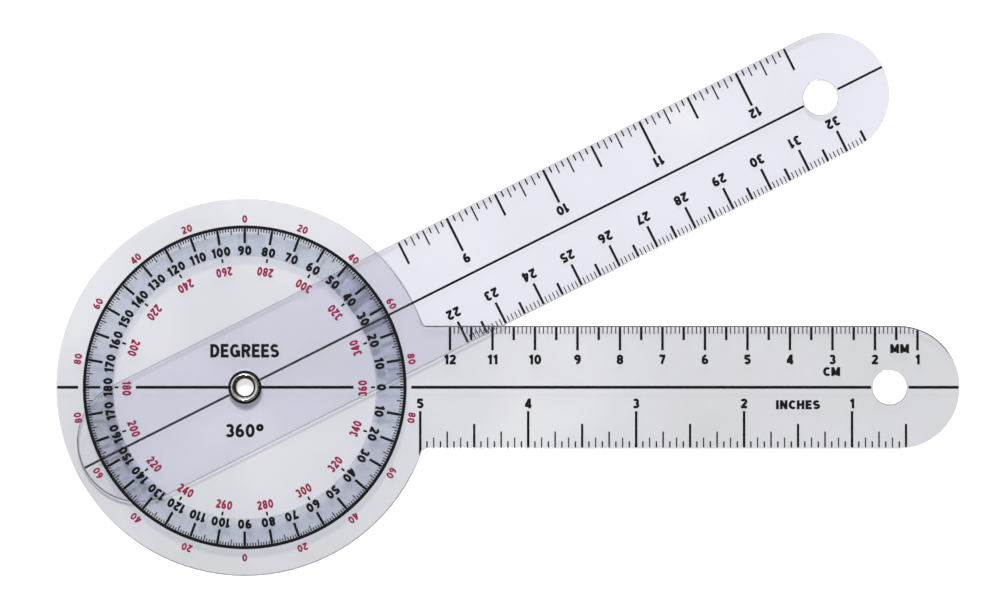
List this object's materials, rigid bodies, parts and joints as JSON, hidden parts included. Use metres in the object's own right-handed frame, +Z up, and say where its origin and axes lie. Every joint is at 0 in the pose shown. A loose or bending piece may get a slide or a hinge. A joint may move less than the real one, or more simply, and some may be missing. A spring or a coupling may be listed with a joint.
{
  "type": "angle finder",
  "caption": "Clear round head printed with a degree scale and a fixed ruled arm, with a second ruled arm that turns under it on a hollow eyelet.",
  "frame": {"origin": "on the pivot's axis, where the friction washer under the head rests on the moving arm", "axes": "+Z up along the pivot, from the moving arm to the head; +X from the pivot to the tip of the fixed arm"},
  "size_m": [0.2127, 0.128, 0.0042],
  "materials": {
    "clear_sheet": "clear calendered sheet, faintly lavender, smooth",
    "eyelet_metal": "nickel plated, polished",
    "black_washer": "matt",
    "blue_tint": "translucent printed ink",
    "black_ink": "printed ink",
    "red_ink": "printed ink"
  },
  "bodies": {
    "fixed": {"fixed_arm": "clear_sheet", "eyelet": "eyelet_metal", "friction_washer": "black_washer", "back_washer": "eyelet_metal", "degree_band": "blue_tint", "degree_ring": "black_ink", "degree_ticks": "black_ink", "reflex_ticks": "black_ink", "fixed_hairline": "black_ink", "fixed_cm_scale": "black_ink", "fixed_inch_scale": "black_ink"},
    "moving": {"moving_arm": "clear_sheet", "moving_hairline": "black_ink", "moving_cm_scale": "black_ink", "moving_inch_scale": "black_ink"}
  },
  "joints": [
    {"name": "arm_pivot", "type": "hinge", "parent": "fixed", "child": "moving", "pos_m": [0, 0, 0], "axis": [0, 0, 1], "continuous": true}
  ]
}
